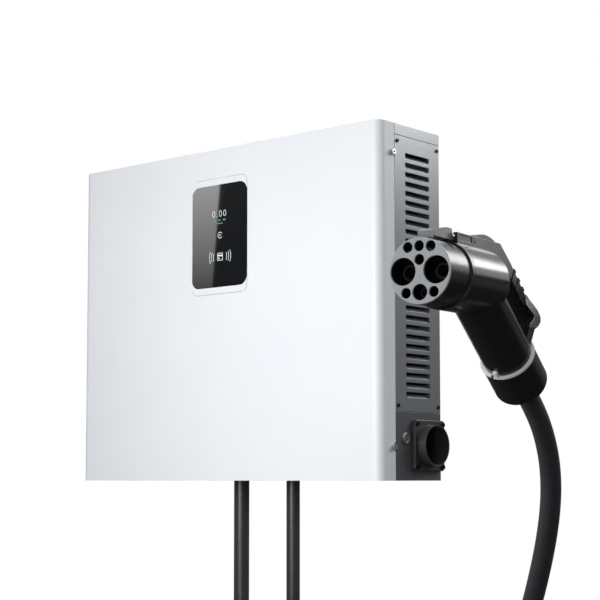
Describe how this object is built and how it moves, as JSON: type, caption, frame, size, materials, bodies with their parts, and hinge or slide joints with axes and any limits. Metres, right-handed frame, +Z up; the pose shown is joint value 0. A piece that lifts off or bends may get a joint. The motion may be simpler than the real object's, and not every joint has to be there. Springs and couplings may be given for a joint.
{
  "type": "dc fast charging station",
  "caption": "Wall-hung DC fast charging cabinet with display, louvered sides, connector holster and lock, a supply cable and a charging cable with its handled connector.",
  "frame": {"origin": "middle of the four bolt holes of the wall plate, on the wall's surface", "axes": "+Z up, +Y into the wall, so the front faces -Y; +X to the right as seen from the front"},
  "size_m": [1.4384, 0.9926, 1.0982],
  "materials": {
    "white_paint": "satin powder coat",
    "zinc_sheet": "satin",
    "grey_paint": "satin powder coat",
    "black_paint": "satin powder coat",
    "bright_screw": "satin",
    "black_screw": "satin",
    "black_plastic": "fine moulded grain",
    "soft_black": "matte",
    "display_glass": "gloss",
    "grey_plastic": "matte",
    "board_green": "solder mask",
    "aluminium": "satin",
    "copper": "satin",
    "contact_metal": "bright",
    "face_grey": "matte",
    "nose_black": "satin",
    "lock_nickel": "satin",
    "filter_duct": "matte",
    "cable_jacket": "matte extruded jacket",
    "core_insulation": "matte"
  },
  "bodies": {
    "station": {"front_cover": "white_paint", "cover_screws": "bright_screw", "rear_chassis": "zinc_sheet", "top_cover": "grey_paint", "right_vent_panel": "grey_paint", "left_vent_panel": "grey_paint", "vent_panel_screws": "black_screw", "right_lower_panel": "black_paint", "left_lower_panel": "black_paint", "holster": "black_plastic", "holster_gasket": "soft_black", "holster_screws": "black_screw", "lock_barrel": "lock_nickel", "display_glass": "display_glass", "display_bezel": "black_plastic", "display_module": "grey_plastic", "card_reader": "board_green", "gland_tray": "zinc_sheet", "cable_glands": "black_plastic", "module_case": "aluminium", "power_stage": "aluminium", "air_ducts": "filter_duct", "mounting_plate": "zinc_sheet", "control_board": "board_green", "auxiliary_supply": "aluminium", "din_rail": "zinc_sheet", "ac_breaker": "grey_plastic", "surge_arrester": "grey_plastic", "ac_contactor": "grey_plastic", "energy_meter": "grey_plastic", "dc_switchgear": "grey_plastic", "supply_terminals": "grey_plastic", "busbars": "copper", "inner_leads": "core_insulation", "wall_plate": "zinc_sheet", "rear_feet": "soft_black", "connector_face": "face_grey", "connector_nose": "nose_black", "contacts": "contact_metal", "connector_body_left": "black_plastic", "connector_body_right": "black_plastic", "latch_fittings": "bright_screw", "lock_actuator": "grey_plastic", "handle_ring": "grey_plastic", "collar": "black_plastic", "cable_boot": "soft_black", "connector_leads": "cable_jacket", "charging_cable_drop": "cable_jacket", "charging_cable_coil": "cable_jacket", "charging_cable_rise": "cable_jacket", "coil_ties": "soft_black", "supply_cable": "cable_jacket", "supply_cores": "core_insulation"},
    "fan_1": {"fan_rotor_1": "black_plastic"},
    "fan_2": {"fan_rotor_2": "black_plastic"},
    "fan_3": {"fan_rotor_3": "black_plastic"},
    "lock": {"lock_plug": "lock_nickel"},
    "breaker_handle": {"breaker_lever": "black_plastic"},
    "latch": {"latch": "black_plastic"},
    "release_button": {"release_button": "black_plastic"}
  },
  "joints": [
    {"name": "fan_1_spin", "type": "hinge", "parent": "station", "child": "fan_1", "pos_m": [-0.241, -0.062, -0.005], "axis": [1, 0, 0], "continuous": true},
    {"name": "fan_2_spin", "type": "hinge", "parent": "station", "child": "fan_2", "pos_m": [-0.241, -0.062, 0.09], "axis": [1, 0, 0], "continuous": true},
    {"name": "fan_3_spin", "type": "hinge", "parent": "station", "child": "fan_3", "pos_m": [-0.241, -0.062, 0.185], "axis": [1, 0, 0], "continuous": true},
    {"name": "lock_turn", "type": "hinge", "parent": "station", "child": "lock", "pos_m": [0.365, -0.112, -0.23], "axis": [1, 0, 0], "range_deg": [0, 90]},
    {"name": "breaker_switch", "type": "hinge", "parent": "station", "child": "breaker_handle", "pos_m": [-0.29, -0.102, -0.15], "axis": [1, 0, 0], "range_deg": [0, 50]},
    {"name": "latch_turn", "type": "hinge", "parent": "station", "child": "latch", "pos_m": [1.0179, -0.88544, -0.05717], "axis": [0.9836, 0.1805, 0], "range_deg": [-4.4, 0]},
    {"name": "release_press", "type": "slide", "parent": "station", "child": "release_button", "axis": [-0.0044, 0.024, -0.9997], "range_m": [0, 0.003], "stiffness_N_per_m": 400}
  ],
  "couplings": [
    {"joint": "latch_turn", "follows": "release_press", "rad_per_m": -25}
  ]
}
